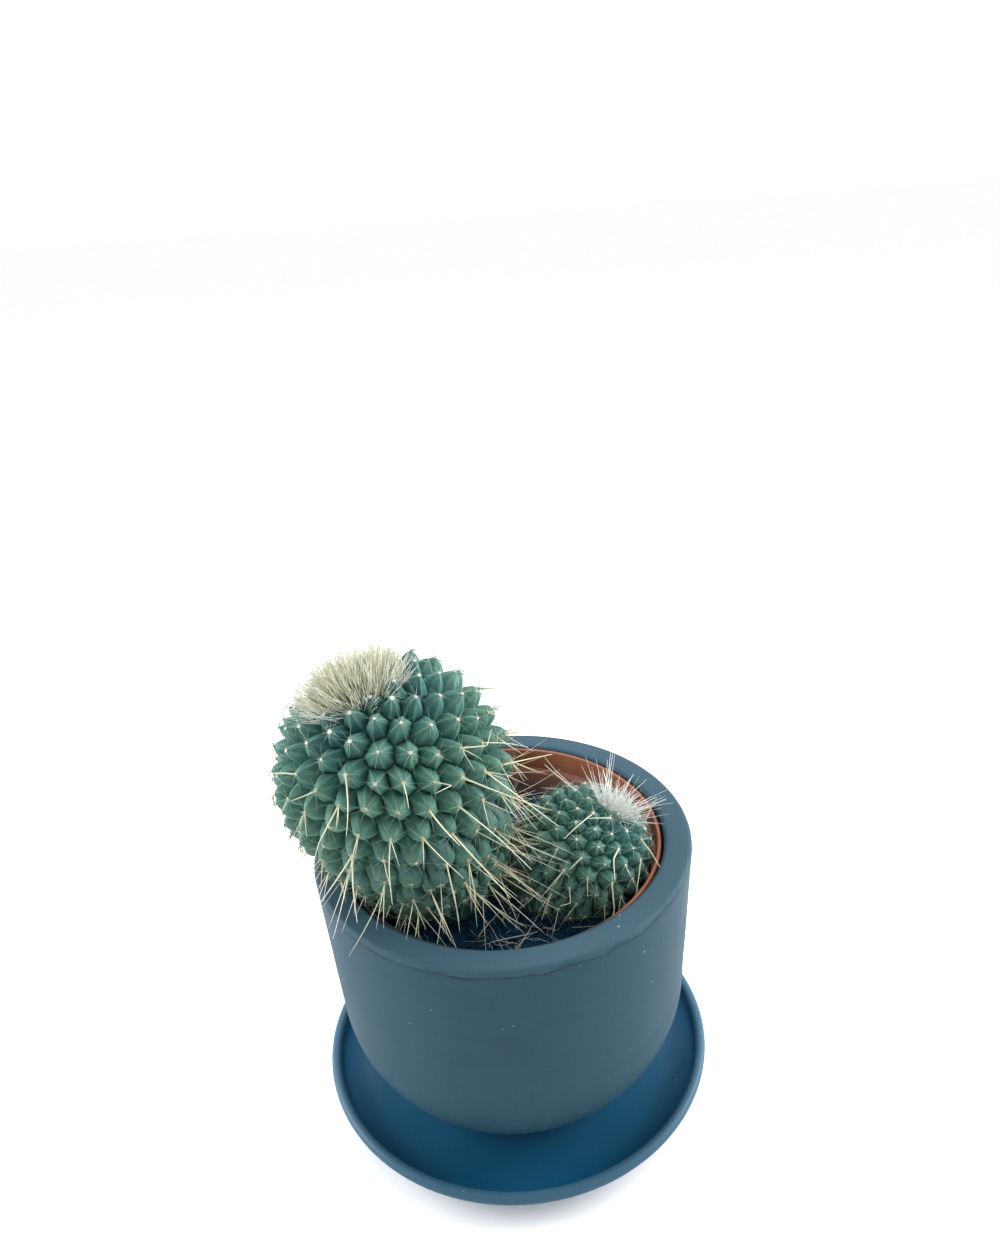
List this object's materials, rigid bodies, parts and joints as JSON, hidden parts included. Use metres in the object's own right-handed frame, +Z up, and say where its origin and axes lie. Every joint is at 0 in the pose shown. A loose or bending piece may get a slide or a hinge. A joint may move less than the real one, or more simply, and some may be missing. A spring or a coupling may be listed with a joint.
{
  "type": "potted round cactus",
  "caption": "Round tubercled cactus with a smaller offset, in a grow pot set inside a thick-rimmed cover pot that stands on a saucer.",
  "frame": {"origin": "centre of the saucer's underside, on the surface it stands on", "axes": "+Z up along the pot's axis, +X towards the smaller offset at the viewer's right, +Y away from the viewer"},
  "size_m": [0.134, 0.1336, 0.1724],
  "materials": {
    "saucer_glaze": "satin deep blue, faint turning marks",
    "pot_glaze": "matte slate blue, faint horizontal brush marks",
    "grow_pot_plastic": "terracotta-orange moulded plastic",
    "soil": null,
    "cactus_skin": null,
    "long_spines": "straw-coloured, slightly translucent",
    "crown_spines": "khaki to white young spines and wool"
  },
  "bodies": {
    "root": {"saucer": "saucer_glaze", "cover_pot": "pot_glaze", "nursery_pot": "grow_pot_plastic", "potting_soil": "soil", "main_cactus": "cactus_skin", "offset_cactus": "cactus_skin", "main_crown_spines": "crown_spines", "offset_crown_spines": "crown_spines", "main_spine_01": "long_spines", "main_spine_02": "long_spines", "main_spine_03": "long_spines", "main_spine_04": "long_spines", "main_spine_05": "long_spines", "main_spine_06": "long_spines", "main_spine_07": "long_spines", "main_spine_08": "long_spines", "main_spine_09": "long_spines", "main_spine_10": "long_spines", "main_spine_11": "long_spines", "main_spine_12": "long_spines", "main_spine_13": "long_spines", "main_spine_14": "long_spines", "main_spine_15": "long_spines", "main_spine_16": "long_spines", "main_spine_17": "long_spines", "main_spine_18": "long_spines", "main_spine_19": "long_spines", "main_spine_20": "long_spines", "main_spine_21": "long_spines", "main_spine_22": "long_spines", "main_spine_23": "long_spines", "main_spine_24": "long_spines", "main_spine_25": "long_spines", "main_spine_26": "long_spines", "main_spine_27": "long_spines", "main_spine_28": "long_spines", "offset_spine_01": "long_spines", "offset_spine_02": "long_spines", "offset_spine_03": "long_spines", "offset_spine_04": "long_spines", "offset_spine_05": "long_spines", "offset_spine_06": "long_spines", "offset_spine_07": "long_spines", "offset_spine_08": "long_spines", "offset_spine_09": "long_spines", "offset_spine_10": "long_spines", "offset_spine_11": "long_spines", "offset_spine_12": "long_spines", "offset_spine_13": "long_spines", "offset_spine_14": "long_spines"}
  },
  "joints": []
}
